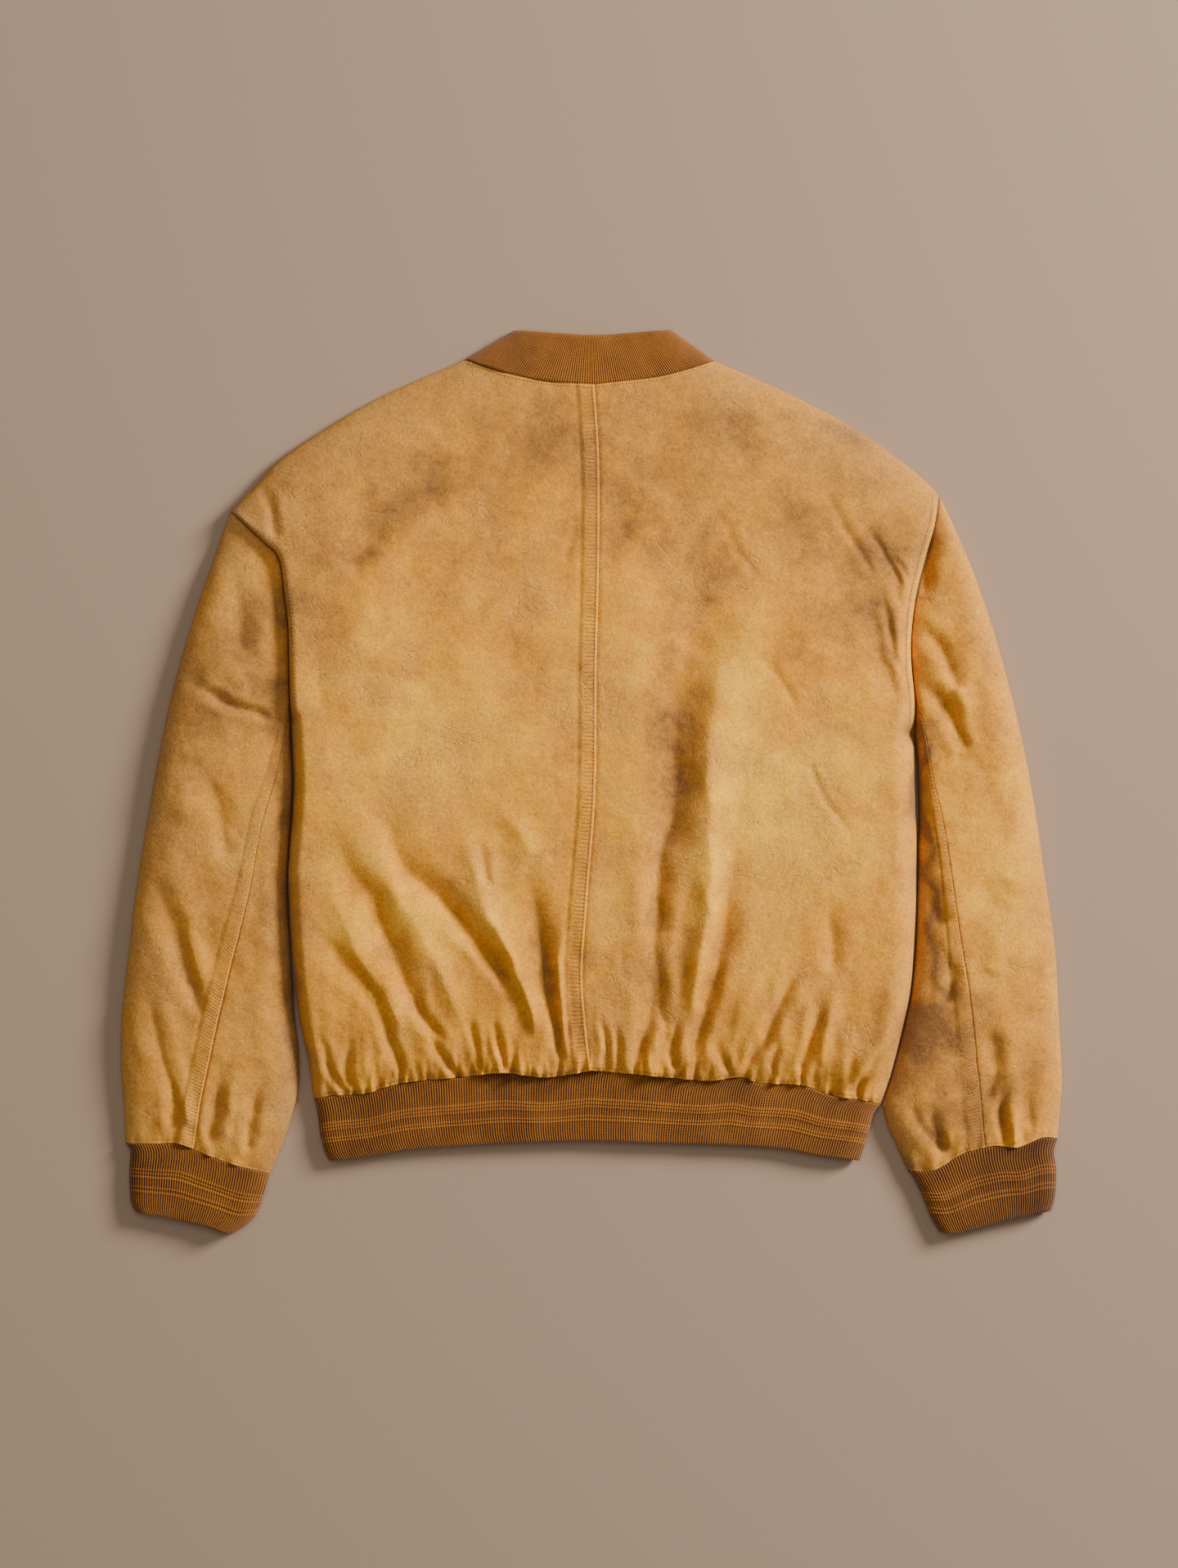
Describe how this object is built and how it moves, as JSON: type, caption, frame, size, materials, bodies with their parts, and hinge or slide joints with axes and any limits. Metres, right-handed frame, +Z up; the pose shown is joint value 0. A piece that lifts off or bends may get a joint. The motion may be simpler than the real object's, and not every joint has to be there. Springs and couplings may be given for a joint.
{
  "type": "suede jacket",
  "caption": "Tan suede blouson with ribbed knit collar, cuffs and hem band, laid flat face down so its back shows.",
  "frame": {"origin": "middle of the jacket's plan as it lies, on the surface", "axes": "+Z up from the surface to the back of the jacket, +Y towards the collar, +X to the wearer's right side"},
  "size_m": [0.8087, 0.7752, 0.0384],
  "materials": {
    "suede": "napped suede, tan with darker brown clouds",
    "rib_knit": "fine wool rib knit, matte",
    "button_horn": "polished horn"
  },
  "bodies": {
    "root": {"back_left": "suede", "back_right": "suede", "front_left": "suede", "front_right": "suede", "sleeve_left_top": "suede", "sleeve_left_under": "suede", "sleeve_right_top": "suede", "sleeve_right_under": "suede", "cuff_left": "rib_knit", "cuff_right": "rib_knit", "hem_band": "rib_knit", "collar": "rib_knit", "button_1": "button_horn", "button_2": "button_horn", "button_3": "button_horn", "button_4": "button_horn", "button_5": "button_horn"}
  },
  "joints": []
}
